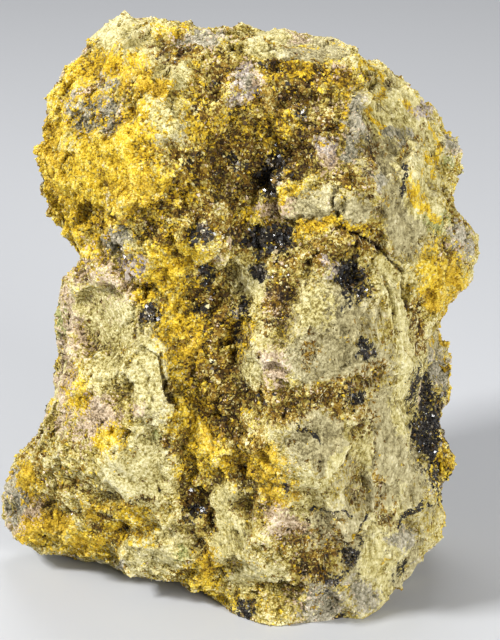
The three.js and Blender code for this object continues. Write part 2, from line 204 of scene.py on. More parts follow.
rose_patches = {
    "left of the mass": (5.0, 2.4, 2.0, 2.6), "under it": (3.4, -2.4, 1.2, 2.0),
    "top of the basin": (2.2, 31.0, 1.0, 1.4), "slab spot": (-13.0, -11.0, 1.2, 1.0),
    "back of the slab": (-21.8, 1.0, 2.6, 7.0), "left wall": (-22.0, -9.0, 1.6, 4.0),
    "basin knob": (12.0, 20.4, 1.6, 1.4), "slab top": (-17.6, 3.3, 4.0, 6.0),
    "toe": (-27.2, -25.7, 2.0, 2.3), "foot": (5.9, -24.4, 2.0, 2.2), "foot below": (6.8, -27.2, 1.8, 1.8),
    "top edge": (7.8, 36.7, 1.4, 1.0),
    "brow": (13.0, 32.8, 2.2, 1.0), "middle": (4.6, -5.8, 2.2, 3.0),
    "slab side": (-18.2, -13.0, 3.0, 3.4), "beside the plate": (5.0, 15.0, 2.4, 1.4),
}
golden_patches = {
    "boss side": (-20.8, 16.3, 4.8, 8.5), "boss": (-16.9, 19.5, 6.4, 7.0),
    "boss rim": (-20.8, 29.3, 4.2, 5.2), "under the peak": (-15.6, 33.2, 4.8, 2.2),
    "by the spur": (-13.0, 23.4, 3.6, 4.0), "lip": (-16.3, 15.0, 6.0, 3.0),
    "orange spot": (-9.4, 29.9, 1.3, 1.3), "golden ledge": (9.8, 32.1, 6.4, 1.5),
    "top dot": (-8.1, 38.4, 1.8, 0.6), "slab edge": (-20.8, -9.6, 1.4, 2.8),
    "toe edge": (-26.9, -20.8, 1.0, 1.8), "toe corner": (-24.3, -27.6, 1.9, 1.2),
    "slab foot": (-18.9, -29.3, 3.4, 1.8), "slab dot": (-17.6, -16.6, 1.0, 1.1),
    "slab streak": (-14.3, -26.0, 2.2, 3.0), "upper lobe": (27.0, 5.9, 2.6, 3.8),
    "lower lobe": (27.6, -16.6, 1.5, 3.8), "groove": (-5.9, -1.3, 3.0, 6.0),
    "lower groove": (-4.6, -13.0, 2.4, 6.0), "foot of the groove": (-3.6, -33.0, 2.0, 3.6),
    "cheek side": (3.4, -18.4, 2.6, 1.4),
    "cheek foot": (-0.7, -18.4, 2.2, 1.8), "top of the slab": (-12.2, 3.6, 1.4, 1.6),
    "middle": (-8.0, 8.0, 4.4, 5.0), "under the basin": (-7.0, 17.0, 4.0, 4.0),
    "basin": (3.0, 23.6, 4.0, 3.2),
    "left of the basin": (-3.6, 25.0, 2.4, 4.4), "beside the basin": (7.4, 16.8, 1.8, 0.9),
    "under the upper cluster": (2.0, 13.6, 1.8, 1.4), "beside the groove": (0.0, -2.4, 1.4, 2.0),
    "left of the groove": (-5.9, -8.2, 1.8, 2.2), "left of the slab": (-16.4, -15.4, 1.8, 1.6),
    "middle of the slab foot": (-13.7, -28.4, 2.4, 1.4), "below the slab knob": (-5.9, -18.4, 1.6, 1.6),
    "above the ledge": (7.2, 33.6, 3.4, 1.0),
}
amber_patches = {
    "boss side": (-24.4, 19.4, 1.6, 5.0), "lip": (-16.4, 12.2, 2.2, 1.2), "boss": (-13.6, 16.8, 2.8, 2.4),
    "orange spot": (-9.4, 29.9, 1.5, 1.5), "toe corner": (-25.0, -26.8, 2.6, 1.8),
    "toe edge": (-27.6, -21.0, 1.6, 2.2),
    "slab ledge": (-16.6, -24.8, 2.4, 0.9), "groove": (-5.2, -4.4, 1.0, 2.0),
    "lower groove": (-3.6, -14.8, 1.0, 1.6), "foot of the groove": (-3.8, -32.0, 1.2, 3.0),
    "cheek side": (3.2, -18.6, 3.0, 2.0), "under the cheek": (6.2, -22.6, 2.2, 1.2),
    "upper lobe": (28.4, 5.0, 1.6, 2.4), "lobe edge": (26.4, 2.0, 1.2, 1.2),
    "lower lobe": (28.0, -17.2, 1.2, 3.0),
    "golden ledge": (14.0, 31.4, 1.6, 0.8), "under the plate": (9.4, 12.1, 2.0, 0.7),
    "slab foot": (-19.6, -29.6, 2.4, 1.2), "under the peak": (-12.2, 30.6, 2.4, 1.4),
}
golden_seams = {
    "shoulder": (0.34, (16.9, 34.2), (18.9, 30.9), (18.5, 27.6), (19.4, 25.4), (21.6, 21.6)),
    "outer shoulder": (0.5, (21.5, 28.6), (25.0, 25.7), (26.2, 22.4), (25.0, 19.0)),
    "flank": (0.5, (23.4, 18.6), (24.6, 14.6), (26.4, 12.6)),
    "by the lens": (0.3, (14.6, 29.6), (14.0, 24.6)),
    "lobe rim": (0.6, (28.4, -2.0), (28.9, -6.0), (28.2, -10.0)),
    "plate foot": (0.7, (8.0, 12.3), (13.0, 12.4), (17.0, 11.4)),
}
# Some brown patches are painted shadow: under the boss, at the boss foot and right of it, under and below the
# plate, below the foot, and at the end and tail of the shelf.
brown_and_painted_shadow_patches = {
    "basin": (1.0, 20.6, 3.8, 3.0), "basin right": (8.2, 21.6, 2.2, 3.0), "basin top": (4.6, 27.6, 4.0, 2.0),
    "basin left": (-4.8, 20.4, 3.0, 2.8), "right of the boss": (-3.4, 27.4, 1.8, 3.0),
    "under the boss": (-15.0, 13.2, 2.0, 1.7), "under the plate": (17.0, 10.4, 2.4, 1.0),
    "seam top": (-2.2, -6.2, 2.0, 4.8), "mass pit": (5.6, 2.6, 1.8, 2.2),
    "mass spot": (10.4, -4.9, 1.2, 1.5), "slab pit": (-5.3, -24.4, 1.6, 2.4),
    "foot": (10.2, -29.6, 3.4, 2.8), "slab knob": (-8.2, -16.6, 1.1, 1.0),
    "slab dot": (-25.5, -18.5, 0.9, 1.1), "shoulder pit": (18.2, 22.4, 0.9, 2.4),
    "behind the peak": (-7.4, 35.4, 2.8, 1.6), "cheek side": (2.8, -19.2, 1.6, 1.0),
    "upper middle": (-1.8, 12.0, 2.6, 2.4), "middle": (5.8, 5.4, 1.2, 1.6),
    "boss grey": (-17.8, 26.8, 1.8, 1.6),
    "boss foot": (-9.2, 11.8, 2.8, 2.2), "groove": (-2.0, -6.0, 1.6, 3.4),
    "ledge": (12.6, 31.9, 3.4, 1.1), "below the ledge": (8.0, 30.8, 3.0, 1.0),
    "right of the boss foot": (-4.8, 15.2, 3.8, 2.8), "by the lens": (11.2, 25.8, 2.0, 1.8),
    "below the plate": (12.3, 9.0, 2.4, 1.6), "left of the mass": (4.4, -0.2, 1.3, 1.5),
    "groove top": (-3.2, -2.8, 2.0, 2.8), "shelf end": (14.8, -10.2, 3.0, 1.8),
    "above the plate": (16.0, 18.4, 2.4, 1.2), "beside the basin": (7.2, 18.8, 2.0, 1.2),
    "shelf tail": (17.4, -12.6, 1.2, 1.8), "above the cheek": (6.4, -12.8, 2.2, 1.0),
    "foot below": (9.8, -33.6, 3.2, 2.0), "top of the basin": (-1.0, 31.4, 1.6, 1.6),
    "lobe": (27.2, 8.4, 0.9, 1.8), "shoulder spots": (22.0, 22.6, 1.4, 1.2),
    "above the mass": (7.4, 7.8, 1.6, 1.1), "above the ledge": (7.6, 33.8, 2.4, 0.9),
}
# The shelf seam is painted shadow under the shelf's overhang, and the seam beside the rim is painted shade in
# the gap there.
brown_and_painted_shadow_seams = {
    "groove": (1.6, (-3.4, 1.8), (-2.1, -5.2), (-0.8, -13.6), (2.4, -16.4)),
    "shelf": (1.5, (2.0, -10.1), (9.8, -10.1), (15.0, -9.1), (17.6, -6.8)),
    "fold": (0.5, (18.0, -14.5), (18.4, -21.0), (19.6, -26.0)),
    "beside the rim": (0.7, (23.8, 2.0), (24.4, -4.0)),
    "rim arc": (0.5, (13.4, 12.0), (16.6, 10.8), (18.4, 9.4)),
    "slab ledge": (0.8, (-17.7, -26.0), (-13.4, -23.8), (-11.3, -22.8)),
    "streak": (0.4, (19.8, -22.4), (20.4, -26.6)),
}
grey_patches = {
    "boss hollow": (-18.6, 27.3, 3.0, 3.2), "boss crest": (-16.4, 31.4, 1.0, 1.4),
    "pit": (0.8, 30.4, 1.3, 2.4),
    "edge of the foot": (22.0, -28.4, 1.6, 1.4), "side of the foot": (17.0, -35.6, 2.0, 2.0),
    "flank": (19.0, 18.4, 1.0, 1.6),
    "top ridge": (-3.9, 37.2, 2.8, 1.3),
    "lens": (16.0, 26.3, 1.6, 3.6), "lens below": (14.8, 22.4, 1.0, 2.0),
    "small lens": (20.8, 23.4, 1.0, 1.4), "foot": (11.3, -37.0, 3.2, 2.4),
    "slab foot": (-15.5, -31.9, 1.1, 0.7), "toe": (-29.1, -22.1, 1.2, 5.0),
    "knob": (28.1, 22.9, 1.4, 2.0), "under the boss": (-15.0, 10.4, 1.8, 1.6),
    "lobe": (29.8, 10.4, 1.8, 2.6), "middle lobe": (26.6, -6.5, 1.6, 3.0),
}
lavender_patches = {
    "top crystal": (0.7, 32.8, 1.0, 1.0), "upper crystal": (0.1, 29.6, 1.2, 1.8),
    "basin crystal": (11.3, 22.1, 1.8, 1.6), "mass crystal": (13.0, 6.5, 1.4, 1.5),
    "small crystal": (11.4, 8.3, 0.7, 0.8), "slab crystal": (-12.9, 7.0, 1.6, 1.5),
    "shoulder": (24.2, 27.3, 1.6, 1.3), "brow": (2.5, 29.0, 1.4, 1.0),
}
black_patches = {
    "vein top": (24.5, -9.5, 1.1, 3.2), "vein": (25.7, -15.4, 2.3, 5.0), "vein foot": (26.6, -20, 1.0, 2.4),
    "upper cluster": (4.9, 10.9, 2.9, 2.0), "below it": (3.4, 6.5, 1.2, 0.8),
    "right cluster": (15.3, 4.9, 2.0, 2.8), "left cluster": (-3.2, 5.6, 0.8, 1.4),
    "middle dots": (-4.6, 11.4, 1.3, 1.1), "slab cluster": (-10.7, 1.0, 1.5, 1.0),
    "mass cluster": (17.0, -3.3, 0.8, 1.4), "basin 1": (-5.5, 20.8, 1.0, 0.7),
    "basin 2": (0.3, 20.5, 1.1, 1.1), "basin 3": (4.8, 19.8, 1.2, 2.4), "basin 4": (8.6, 26.8, 0.5, 0.8),
    "slit": (4.6, 32.8, 1.0, 0.3), "heel": (1.0, -38.4, 1.4, 1.8), "shelf": (15.6, -9.8, 1.2, 0.6),
    "slab pit": (-5.3, -25.4, 1.0, 1.0), "groove 1": (0.6, 1.6, 1.1, 1.1), "groove 2": (-4.4, 0.6, 1.1, 0.8),
    "foot 1": (15.3, -31.2, 1.0, 0.9), "foot 2": (13.4, -33.8, 1.5, 0.7),
    "foot 3": (21.2, -31.9, 0.7, 1.2), "foot 4": (13.4, -38.7, 1.5, 0.5), "mark": (6.8, -21.8, 0.5, 0.7),
}
black_seams = {
    "cheek line": (0.18, (7.8, -14.0), (10.8, -15.6)), "mark": (0.2, (0.4, -0.8), (0.8, -3.6)),
    "foot line 1": (0.3, (10.4, -24.7), (15.0, -25.5)), "shoulder line": (0.26, (22.5, 20.4), (22.4, 16.0)),
    "foot line 2": (0.26, (17.3, -25.4), (17.0, -28.0), (16.3, -29.3)),
    "foot line 3": (0.26, (25.1, -24.1), (22.8, -25.4), (21.5, -27.0)),
}
green_patches = {
    "lobe top": (26.7, 12.4, 1.8, 1.5), "slab foot": (-18.0, -30.6, 1.7, 1.2),
    "knob": (-23.7, 1.3, 1.0, 3.0), "under the knob": (28.0, 20.0, 1.0, 0.8),
    "slab": (-9.2, -15.4, 1.4, 0.7), "slab corner": (-7.0, -30.0, 1.6, 1.0),
}
silky_patches = {
    "shoulder": (22.0, 22.0, 5.0, 14.0), "right mass": (19.0, -2.0, 5.0, 9.0),
    "fold": (19.0, -24.0, 8.0, 15.0), "peak": (-12.0, 34.0, 5.0, 4.0), "tongue": (0.5, -28.0, 3.0, 6.0),
}

# Places painted darker, over the same minerals. Several are painted shade: the right side of the peak and of
# the boss, which turns away from the light, below the plate and in the band below the foot.
painted_dark_places = {
    "ledge": (11.0, 31.4, 7.0, 2.2), "right of the peak": (-8.4, 32.4, 2.6, 3.6),
    "boss": (-17.4, 27.0, 2.6, 3.0), "shoulder": (18.4, 21.0, 4.0, 7.0), "spur": (-9.2, 26.0, 4.4, 4.0),
    "under the brow": (4.6, 34.0, 5.6, 2.0), "cheek": (10.4, -16.4, 3.6, 3.8),
    "tongue": (-1.0, -26.0, 2.0, 4.6), "golden ledge": (12.6, 31.0, 5.0, 2.6),
    "right of the boss foot": (-8.0, 15.8, 6.0, 4.4), "slab ledge": (-12.6, -23.6, 2.6, 1.6),
    "right of the spur": (-5.6, 26.0, 2.0, 3.0), "by the lens": (10.0, 26.0, 2.4, 2.4),
    "below the plate": (12.3, 8.4, 2.6, 1.8), "groove": (-0.7, -10.0, 1.8, 4.0),
    "groove top": (-4.4, -0.8, 1.6, 2.4), "foot below": (9.8, -33.6, 3.0, 2.0),
    "above the plate": (16.0, 18.4, 3.0, 1.8), "left of the mass": (5.0, -1.6, 2.4, 4.4),
    "mass": (13.0, 1.0, 4.6, 4.0), "toe": (-26.6, -24.4, 2.6, 3.6), "peak side": (-18.6, 35.0, 1.6, 3.4),
    "boss foot": (-9.4, 11.4, 3.0, 2.0), "vein": (25.6, -14.0, 1.8, 7.0), "foot": (9.4, -28.6, 1.9, 2.0),
    "basin knob": (13.4, 23.2, 1.8, 1.8), "below the slab": (-8.6, -21.0, 1.6, 2.0),
    "slab foot": (-13.7, -28.6, 2.6, 1.6), "boss side": (-11.1, 18.2, 2.2, 3.0),
    "under the basin": (-3.4, 15.6, 2.4, 2.2), "plate": (7.4, 15.6, 1.8, 1.6),
}

# Cracks in the broad face, as seams. They are cut in and painted dark, as painted shade inside them.
thin_lines = {
    "slab crack": (0.24, (-9.4, -4.3), (-9.1, -7.2), (-8.6, -9.4), (-7.4, -11.7)),
    "short crack": (0.2, (-12.5, 0.0), (-11.9, -1.6)), "plate crack": (0.2, (13.0, 16.6), (13.4, 13.4)),
    "rim crack": (0.2, (19.6, 6.0), (20.8, 2.4), (21.2, -1.6)),
    "rim arc": (0.16, (15.6, 11.2), (18.9, 9.5), (22.1, 6.2), (23.2, 1.0)),
}


def in_view(bm):
    """The mesh's points in millimetres, its normals, how fully each faces the camera, and where it shows."""
    bm.normal_update()
    bm.verts.index_update()
    points = np.array([vert.co[:] for vert in bm.verts]) / MM
    outward = np.array([vert.normal[:] for vert in bm.verts])
    return points, outward, smooth_step(outward @ -np.array(away), 0.0, 0.3), on_drawing_plane(points)


# The mesh is finer along the thin lines, this far to each side, and where clay makes the face smooth.
fine_reach = 1.5
points, outward, facing, flat_place = in_view(bm)
all_lines = {**thin_lines, **black_seams, **golden_seams}
wide_lines = {name: (fine_reach, *line[1:]) for name, line in all_lines.items()}
smooth = in_patches(flat_place, clay_patches)
fine = facing * np.maximum(along_seams(flat_place, wide_lines), 0.75 * smooth) > 0.5
edges = [edge for edge in bm.edges if fine[edge.verts[0].index] and fine[edge.verts[1].index]]
bmesh.ops.subdivide_edges(bm, edges=edges, cuts=1, use_grid_fill=True)
bmesh.ops.triangulate(bm, faces=bm.faces)
points, outward, facing, flat_place = in_view(bm)
# The patches and seams wander a little, so that none has a clean edge.
wander = 1.3 * drifts(points, 5.0) + 0.8 * drifts(points, 1.9) + 0.4 * drifts(points, 0.8)
shown = flat_place + wander[:, [0, 2]]


def mineral(patches, seams=None, hidden=0.0):
    """The amount of a mineral: its patches and seams on the broad face, and hidden on the other sides."""
    drawn = in_patches(shown, patches)
    if seams:
        drawn = np.maximum(drawn, along_seams(shown, seams))
    return 0.85 * (facing * drawn + (1 - facing) * hidden)


# Flat breaks on the broad face: x, z, half width, half height, and how far each stands proud.
flat_breaks = {
    "left of the peak": (-17.6, 35.8, 2.9, 3.9, 0.2), "right of the peak": (-11.0, 35.1, 3.6, 3.2, 0.0),
    "right side of the boss": (-5.2, 29.3, 3.2, 4.5, -0.3), "spur": (-9.8, 26.0, 2.6, 2.9, 0.5),
    "front of the boss": (-16.9, 19.5, 5.0, 4.4, 0.2), "top of the boss": (-17.6, 29.3, 3.2, 2.6, 0.1),
    "plate": (10.0, 15.2, 3.6, 1.8, 0.8), "side of the plate": (16.3, 14.3, 2.3, 2.3, 0.3),
    "right mass": (11.7, 0.0, 4.7, 4.4, 0.5), "lower mass": (12.4, -5.2, 6.5, 2.8, 0.2),
    "rim of the mass": (19.8, -1.3, 2.8, 5.9, 0.2), "cheek": (10.8, -16.4, 4.3, 4.4, 0.5),
    "fold": (19.5, -17.0, 2.9, 7.8, 0.2), "right of the foot": (19.5, -31.0, 4.6, 4.6, 0.2),
    "foot": (8.5, -29.3, 3.6, 5.0, 0.1), "cream block": (-11.0, -7.2, 2.7, 6.5, 0.5),
    "top of the slab": (-16.9, -1.3, 3.3, 5.9, 0.1), "slab": (-11.7, -19.5, 5.2, 3.4, 0.3),
    "left of the slab": (-19.5, -14.3, 3.6, 4.6, 0.1), "foot of the slab": (-16.3, -27.3, 6.5, 2.6, 0.1),
    "shoulder": (20.8, 24.7, 3.3, 5.2, 0.2), "flank": (22.1, 13.7, 2.4, 5.2, 0.1),
    "golden ledge": (11.0, 30.8, 6.5, 1.5, 0.4), "tongue": (-1.3, -26.0, 2.0, 5.2, 0.4),
    "toe": (-26.9, -26.0, 2.2, 2.3, 0.2), "brow": (7.8, 35.3, 6.5, 1.8, 0.1),
}
flat = np.zeros(len(points))
for x, z, across_it, tall, proud in flat_breaks.values():
    inside = facing * smooth_step(in_patches(shown, {"it": (x, z, across_it, tall)}), 0.43, 0.57)
    outlook = (inside[:, None] * outward).sum(axis=0)
    outlook /= np.linalg.norm(outlook)
    middle = (inside[:, None] * points).sum(axis=0) / inside.sum()
    off = np.clip((points - middle) @ outlook, -1.6, 1.6)
    points = points + (inside * (proud - 0.8 * off))[:, None] * outlook
    flat = np.maximum(flat, inside)

# On the sides away from the camera, the minerals come in clouds of about these sizes.
cloud = {name: grain(points, size, seed, 3) for name, size, seed in (
    ("golden", 18, 1.0), ("brown", 12, 2.3), ("rose", 16, 3.1), ("grey", 9, 4.7),
    ("chalk", 16, 5.9), ("black", 4, 6.1))}
black_spots = mineral(black_patches, None, smooth_step(cloud["black"] + cloud["brown"], 0.7, 1.0))
ore = {
    "rose": mineral(rose_patches, None, smooth_step(cloud["rose"], 0.05, 0.4)),
    "clay": mineral(clay_patches, None, smooth_step(cloud["chalk"], -0.3, 0.2)),
    "chalk": mineral(chalk_patches, chalk_seams, smooth_step(cloud["chalk"], 0.0, 0.4)),
    "golden": mineral(golden_patches, golden_seams, smooth_step(cloud["golden"], 0.05, 0.4)),
    "amber": mineral(amber_patches, None, 0.7 * smooth_step(cloud["golden"], 0.3, 0.8)),
    "brown": mineral(brown_and_painted_shadow_patches, brown_and_painted_shadow_seams, smooth_step(cloud["brown"], 0.2, 0.5)),
    "grey": mineral(grey_patches, None, smooth_step(cloud["grey"], 0.35, 0.55)),
    "lavender": mineral(lavender_patches),
    "green": mineral(green_patches),
    "black": np.maximum(black_spots, 1.1 * mineral({}, black_seams)),
    "silky": mineral(silky_patches, None, smooth_step(cloud["chalk"], 0.1, 0.5)),
}

crack = facing * along_seams(flat_place + 0.25 * wander[:, [0, 2]], thin_lines)


def broken_faces(points, size, tilt, seed):
    """Height of broken rock: it splits into blocks about this wide, each with one tilted flat face."""
    shift = Vector((seed, 7 * seed, 3 * seed))
    middle_lean = Vector((0.5, 0.5, 0.5))
    far_apart = 97  # gives neighbouring blocks leans that have nothing in common
    heights = []
    for point in points:
        place = Vector(point) / size + shift
        middle = noise.voronoi(place)[1][0]
        lean = noise.cell_vector(middle * far_apart) - middle_lean
        heights.append(2 * tilt * size * (place - middle).dot(lean))
    return np.array(heights)


# The silky minerals lie in strands that fall a little to the right.
fall = Vector((0.22, 0, 0)) - upwards
fall.normalize()
across = fall.cross(away)
strand_axes = np.array([across / 0.8, away / 1.4, fall / 7.0])
strands = grain((points + 2.5 * drifts(points, 9.0)) @ strand_axes.T, 1.0, 14.0, 3)

# Small dark spots and mottled brown lie over the other minerals.
spots = smooth_step(grain(points, 1.1, 15.0), 0.48, 0.6)
ore["brown"] = ore["brown"] * (0.6 + 0.6 * smooth_step(grain(points, 2.2, 16.0), -0.25, 0.35)) + 0.5 * spots
pale = np.clip(ore["chalk"] + ore["clay"] + 0.5 * ore["rose"] - 0.6 * ore["golden"], 0, 1)
# The surface is wild where it broke, and calmer where it is pale, silky or flat.
wild = np.clip(1 - 0.4 * ore["silky"] - 0.4 * pale - 0.3 * flat, 0.2, 1)
height = (
    -0.25 + (0.4 + 0.6 * wild) * broken_faces(points, 3.4, 0.28, 9.0)
    + wild * (broken_faces(points, 1.3, 0.36, 8.0) + 0.1 * grain(points, 0.7, 10.0))
    + (1 - wild) * (0.14 * broken_faces(points, 0.7, 0.5, 7.0) + 0.5 * ore["silky"] * strands)
    - 0.45 * ore["brown"] * smooth_step(grain(points, 1.5, 11.0), 0.1, 0.5) - 0.2 * spots - 0.8 * crack
)
# The relief fades out just above the ground, so that the underside stays flat.
settled = smooth_step(points[:, 2], 0.2, 1.6)
points = points + outward * (height * settled)[:, None]
points[:, 2] = np.maximum(points[:, 2], 0)
for vert, point in zip(bm.verts, points):
    vert.co = point * MM
bm.normal_update()
triangles = np.array([[vert.index for vert in face.verts] for face in bm.faces])
slopes = np.array([face.normal[:] for face in bm.faces])
areas = np.array([face.calc_area() for face in bm.faces]) / MM ** 2
neighbours = np.array([[vert.index for vert in edge.verts] for edge in bm.edges])
neighbours = np.concatenate([neighbours, neighbours[:, ::-1]])
outward = np.array([vert.normal[:] for vert in bm.verts])
bm.to_mesh(rock_mesh)
bm.free()
rock_mesh.polygons.foreach_set("use_smooth", wild[triangles].mean(axis=1) < 0.7)


def hollowness(rounds, depth):
    """How far a vertex lies below the surface evened out over its neighbours: 1 is this deep, -1 proud."""
    evened = points
    count = np.bincount(neighbours[:, 0])[:, None]
    for _ in range(rounds):
        parts = [np.bincount(neighbours[:, 0], weights=evened[neighbours[:, 1], axis]) for axis in range(3)]
        evened = np.stack(parts, axis=1) / count
    return np.clip(((evened - points) * outward).sum(axis=1) / depth, -1, 1)


# Brown grains gather in the hollows and pale chalk on the edges that stand proud. This also paints shade
# into the hollows and light onto the proud edges.
pit = hollowness(8, 0.25)
hollow = hollowness(90, 1.2)
ore["brown"] = ore["brown"] + 0.22 * np.maximum(hollow, 0)
ore["chalk"] = ore["chalk"] + 0.15 * np.maximum(-hollow, 0)
for name in ("chalk", "clay", "rose", "golden"):
    ore[name] = ore[name] * (1 - 0.3 * np.maximum(hollow, 0) + 0.25 * flat)
ore["brown"] = ore["brown"] * (1 - 0.3 * flat * pale)
for name in ore:
    if name != "black":
        ore[name] = ore[name] * (1 - 0.7 * np.minimum(ore["black"], 1))
# Tint moves each point's shade: it paints shade into the pits, the hollows and the cracks, is darker in the
# painted dark places, and varies at random.
tint = 0.45 - 0.12 * pit - 0.1 * hollow + 0.12 * grain(points, 0.9, 12.0) + 0.12 * grain(points, 2.4, 13.0)
tint = np.clip(tint - 0.15 * facing * in_patches(shown, painted_dark_places) - 0.4 * crack, 0, 1)


def lay_amounts(mesh, amounts):
    """Writes amounts, one for each vertex, as attributes of the mesh."""
    for name, values in amounts.items():
        mesh.attributes.new(name, "FLOAT", "POINT").data.foreach_set("value", values.astype(np.float32))


lay_amounts(rock_mesh, {**ore, "tint": tint})


def linear(code):
    """A colour from its six-figure screen code, such as d9b22a."""
    parts = [int(code[i:i + 2], 16) / 255 for i in (0, 2, 4)]
    return [part / 12.92 if part <= 0.04045 else ((part + 0.055) / 1.055) ** 2.4 for part in parts] + [1]


def put(tree, kind, feeds=None, **settings):
    """Adds a node. A feed is a value or another node's output, for each input that it names."""
    made = tree.nodes.new(kind)
    for name, value in settings.items():
        setattr(made, name, value)
    for name, source in (feeds or {}).items():
        if isinstance(source, bpy.types.NodeSocket):
            tree.links.new(source, made.inputs[name])
        else:
            made.inputs[name].default_value = source
    return made


def amount(tree, name):
    """What the mesh carries under this name at each point."""
    return put(tree, "ShaderNodeAttribute", attribute_name=name).outputs["Fac"]


def sums(tree, operation, first, second, third=0.0):
    """One step of arithmetic on values or outputs."""
    return put(tree, "ShaderNodeMath", {0: first, 1: second, 2: third}, operation=operation).outputs[0]


def swing(tree, source, strength):
    """A value about 0.5 turned into one about 0, times a strength."""
    return sums(tree, "MULTIPLY_ADD", source, strength, -0.5 * strength)


def ramp(tree, source, low, high):
    """A value turned into a share: 0 up to low, and 1 from high on."""
    return put(tree, "ShaderNodeMapRange", {"Value": source, "From Min": low, "From Max": high}).outputs[0]


def shades(tree, position, codes):
    """A colour ramp from evenly spaced screen codes, dark to light."""
    made = put(tree, "ShaderNodeValToRGB", {"Fac": position})
    steps = made.color_ramp.elements
    while len(steps) < len(codes):
        steps.new(0.5)
    for i, code in enumerate(codes):
        steps[i].position = i / (len(codes) - 1)
        steps[i].color = linear(code)
    return made.outputs["Color"]


def blended(tree, share, first, second):
    """The first colour where the share is 0, and the second where it is 1."""
    mixed = put(tree, "ShaderNodeMix", {"Factor": share}, data_type="RGBA")
    tree.links.new(first, mixed.inputs[6])
    tree.links.new(second, mixed.inputs[7])
    return mixed.outputs[2]


def in_millimetres(tree):
    """Each point's own place, in millimetres."""
    place = put(tree, "ShaderNodeTexCoord").outputs["Object"]
    return put(tree, "ShaderNodeVectorMath", {0: place, "Scale": 1000.0}, operation="SCALE").outputs[0]


def noisy(tree, where, scale, detail):
    """A smooth random value from 0 to 1, with about this many waves to a millimetre."""
    feeds = {"Vector": where, "Scale": scale, "Detail": detail, "Roughness": 0.7}
    return put(tree, "ShaderNodeTexNoise", feeds).outputs["Fac"]


# Each mineral's shades, from dark to light. The host is the ore under the other minerals.
mineral_shades = {
    "host": ("322606", "6f5c16", "a89542", "cfc07a", "ebe2b0"),
    "rose": ("584430", "95805f", "bfa788", "dac6a8", "efe2cd"),
    "clay": ("544a2a", "837850", "a99e72", "c6bb8f", "e1d8b2"),
    "chalk": ("675826", "9c8e4b", "c9bd81", "e0d6a2", "f0e8c0"),
    "green": ("3e3e18", "6c6c30", "999859", "bcb980", "dad7ae"),
    "golden": ("563d03", "9b7a08", "d2ae1c", "e5ca44", "f2e491"),
    "amber": ("443009", "83650f", "bb981e", "d6b53c", "e9d77c"),
    "brown": ("180f02", "3b2705", "6b4d0c", "9f7f28", "d0b868"),
    "grey": ("3a3629", "6e6951", "9a927a", "bfb69e", "e1dac5"),
    "lavender": ("4a3e37", "7c6e64", "a39688", "c7bbad", "e9e2d6"),
    # The palest black shade serves partly as painted glints on the black crystals.
    "black": ("050302", "0c0805", "1a130c", "3c3428", "a49a86"),
}


def ore_finish(name):
    """The ore's own finish: each mineral's shades in small grains, laid over one another."""
    material = bpy.data.materials.new(name)
    material.use_nodes = True
    tree = material.node_tree
    shader = tree.nodes["Principled BSDF"]
    place = in_millimetres(tree)
    bends = put(tree, "ShaderNodeTexNoise", {"Vector": place, "Scale": 0.1, "Detail": 1.0}).outputs["Color"]
    bent = put(tree, "ShaderNodeVectorMath", {0: bends, 1: (6, 6, 6), 2: place}, operation="MULTIPLY_ADD")
    strands = put(tree, "ShaderNodeMapping", {"Vector": bent.outputs[0], "Rotation": (0, -0.22, 0),
                                              "Scale": (3.0, 2.0, 0.3)}).outputs[0]
    grains = put(tree, "ShaderNodeTexVoronoi", {"Vector": place, "Scale": 2.6})
    chance = put(tree, "ShaderNodeSeparateColor", {"Color": grains.outputs["Color"]})
    fine = noisy(tree, place, 3.0, 3.0)
    broad = noisy(tree, place, 0.8, 4.0)
    fibre = noisy(tree, strands, 1.0, 4.0)
    silky = amount(tree, "silky")
    texture = put(tree, "ShaderNodeMix", {"Factor": silky, "A": fine, "B": fibre}).outputs[0]
    drawn = put(tree, "ShaderNodeMix", {"Factor": silky, "A": broad, "B": fibre}).outputs[0]
    # The grain's own chance, the fine texture and the tint each move the shade up or down.
    light = sums(tree, "ADD", swing(tree, texture, 2.2), amount(tree, "tint"))
    light = sums(tree, "ADD", light, swing(tree, chance.outputs["Red"], 0.35))
    colour = shades(tree, light, mineral_shades["host"])
    # The minerals from the lowest layer up, each with how ragged the edges of its places are.
    for kind, ragged in (("clay", 0.6), ("rose", 0.8), ("chalk", 0.6), ("green", 0.7), ("golden", 0.9),
                         ("amber", 0.9), ("brown", 1.0), ("grey", 0.45), ("lavender", 0.4), ("black", 0.7)):
        here = amount(tree, kind)
        edge = sums(tree, "ADD", here, swing(tree, drawn, 2.6 * ragged))
        edge = sums(tree, "ADD", edge, swing(tree, chance.outputs["Green"], 0.9 * ragged))
        share = sums(tree, "MULTIPLY", ramp(tree, edge, 0.35, 0.55), ramp(tree, here, 0.02, 0.12))
        colour = blended(tree, share, colour, shades(tree, light, mineral_shades[kind]))
    tree.links.new(colour, shader.inputs["Base Color"])
    shine = sums(tree, "MULTIPLY_ADD", chance.outputs["Blue"], -0.3, 0.9)
    wet = sums(tree, "MULTIPLY_ADD", amount(tree, "black"), -0.35, shine)
    tree.links.new(wet, shader.inputs["Roughness"])
    shader.inputs["Specular IOR Level"].default_value = 0.3
    relief = sums(tree, "MULTIPLY_ADD", grains.outputs["Distance"], -0.6, texture)
    bump = put(tree, "ShaderNodeBump", {"Height": relief, "Strength": 0.9, "Distance": 0.00025})
    tree.links.new(bump.outputs[0], shader.inputs["Normal"])
    return material


rock_mesh.materials.append(ore_finish("crusted_ore"))
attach(rock, "root")
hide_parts("sklodowskite_specimen")


